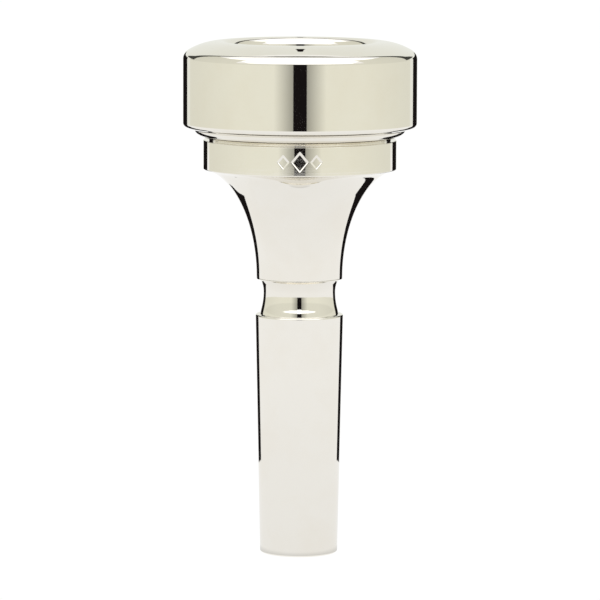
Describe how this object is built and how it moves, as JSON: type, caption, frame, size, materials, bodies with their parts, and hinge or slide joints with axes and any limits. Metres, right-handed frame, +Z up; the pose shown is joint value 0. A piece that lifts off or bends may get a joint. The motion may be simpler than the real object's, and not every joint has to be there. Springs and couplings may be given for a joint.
{
  "type": "brass instrument mouthpiece",
  "caption": "Silver-plated horn mouthpiece whose rim and tapered shank screw onto a flared cup, each joint sealed by a rubber ring.",
  "frame": {"origin": "the middle of the shank's end face, on the axis of the bore", "axes": "+Z runs up the bore from the shank's end to the rim; X and Y are level and alike, because the piece is round"},
  "size_m": [0.0306, 0.0306, 0.0672],
  "materials": {
    "shank_plate": "turned brass, silver plated and polished to a mirror",
    "cup_plate": "turned brass, silver plated and polished to a mirror",
    "rim_plate": "turned brass, silver plated and polished to a mirror",
    "seal_rubber": "moulded black nitrile rubber"
  },
  "bodies": {
    "shank": {"shank": "shank_plate"},
    "shank_seal": {"shank_o_ring": "seal_rubber"},
    "cup": {"cup": "cup_plate"},
    "rim_seal": {"rim_o_ring": "seal_rubber"},
    "rim": {"rim": "rim_plate"}
  },
  "joints": [
    {"name": "cup_lift", "type": "slide", "parent": "shank", "child": "shank_seal", "axis": [0, 0, 1], "range_m": [0, 0.006]},
    {"name": "cup_screw", "type": "hinge", "parent": "shank_seal", "child": "cup", "pos_m": [0, 0, 0.036], "axis": [0, 0, 1], "range_deg": [0, 2160]},
    {"name": "rim_lift", "type": "slide", "parent": "cup", "child": "rim_seal", "axis": [0, 0, 1], "range_m": [0, 0.006]},
    {"name": "rim_screw", "type": "hinge", "parent": "rim_seal", "child": "rim", "pos_m": [0, 0, 0.0558], "axis": [0, 0, 1], "range_deg": [0, 2160]}
  ],
  "couplings": [
    {"joint": "cup_lift", "follows": "cup_screw", "m_per_rad": 0.00015915},
    {"joint": "rim_lift", "follows": "rim_screw", "m_per_rad": 0.00015915}
  ]
}
